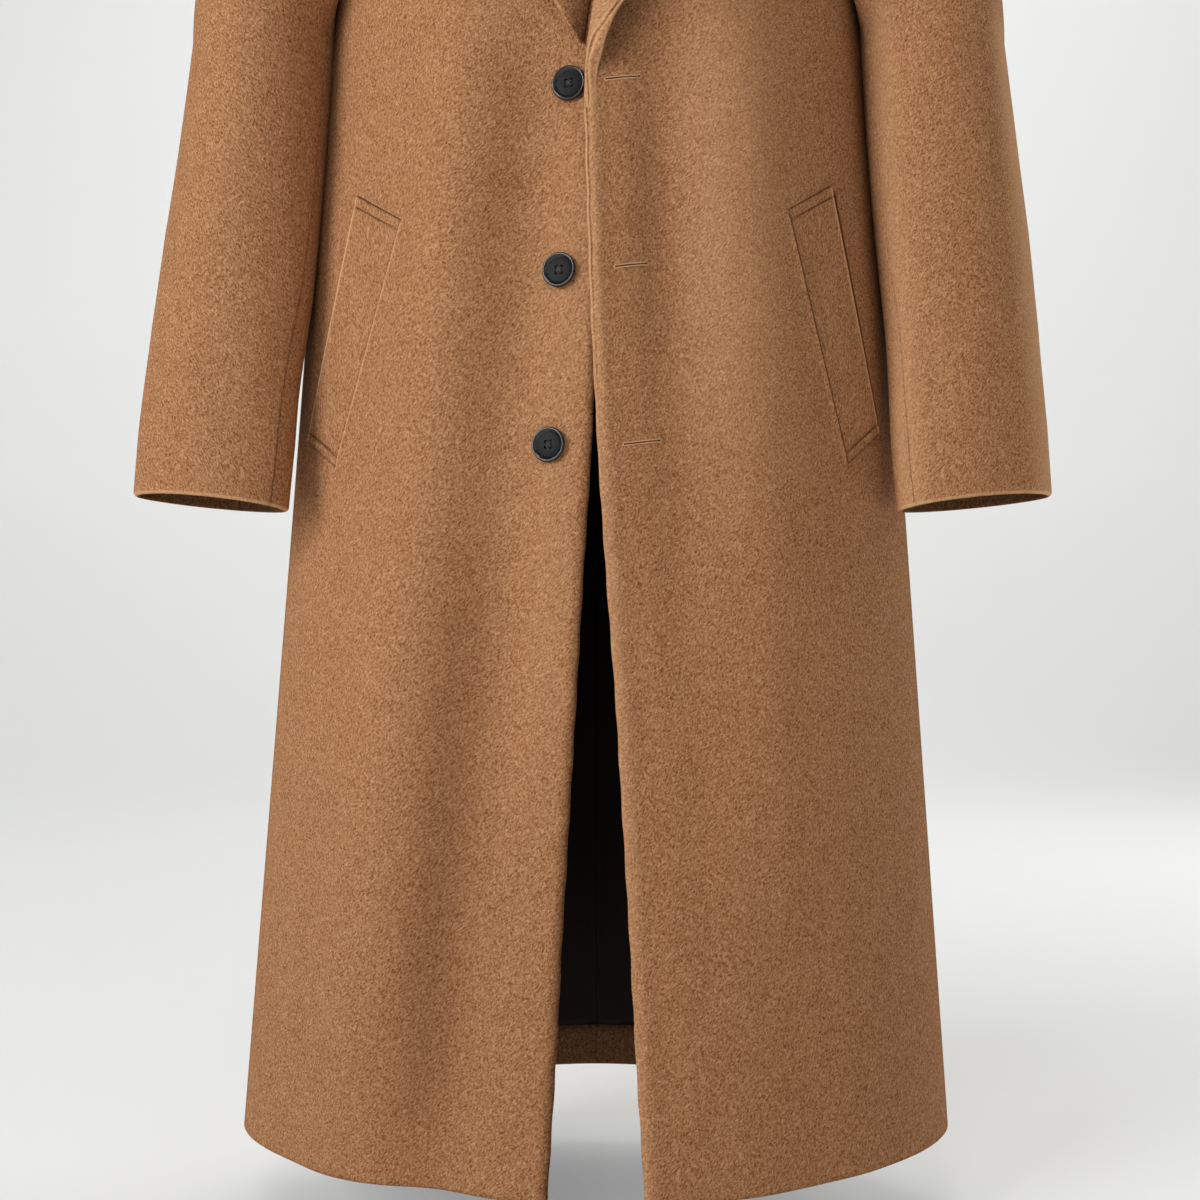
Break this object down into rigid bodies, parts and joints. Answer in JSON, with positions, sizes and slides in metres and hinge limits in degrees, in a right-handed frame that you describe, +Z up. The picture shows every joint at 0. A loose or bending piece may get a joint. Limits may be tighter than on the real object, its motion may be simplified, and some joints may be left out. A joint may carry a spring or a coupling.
{
  "type": "overcoat",
  "caption": "Long single-breasted wool overcoat with notched lapels, slanted pocket welts and straight sleeves, hollow and open at neck, cuffs, hem and front.",
  "frame": {"origin": "middle of the neck at the height where the shoulder seams meet the collar, where a wearer's shoulders carry the coat", "axes": "+Z up, the fronts face -Y, the wearer's left is +X"},
  "size_m": [0.743, 0.3616, 1.2394],
  "materials": {
    "wool": "brushed camel wool coating, matt with a soft nap",
    "lining": "dark satin lining",
    "button": "black resin, polished rim and matt middle"
  },
  "bodies": {
    "root": {"front_left": "wool", "front_right": "wool", "back_left": "wool", "back_right": "wool", "sleeve_top_left": "wool", "sleeve_top_right": "wool", "sleeve_under_left": "wool", "sleeve_under_right": "wool", "lapel_left": "wool", "lapel_right": "wool", "collar": "wool", "pocket_welt_left": "wool", "pocket_welt_right": "wool", "lining_back_left": "lining", "lining_back_right": "lining", "button_1": "button", "button_2": "button", "button_3": "button"}
  },
  "joints": []
}
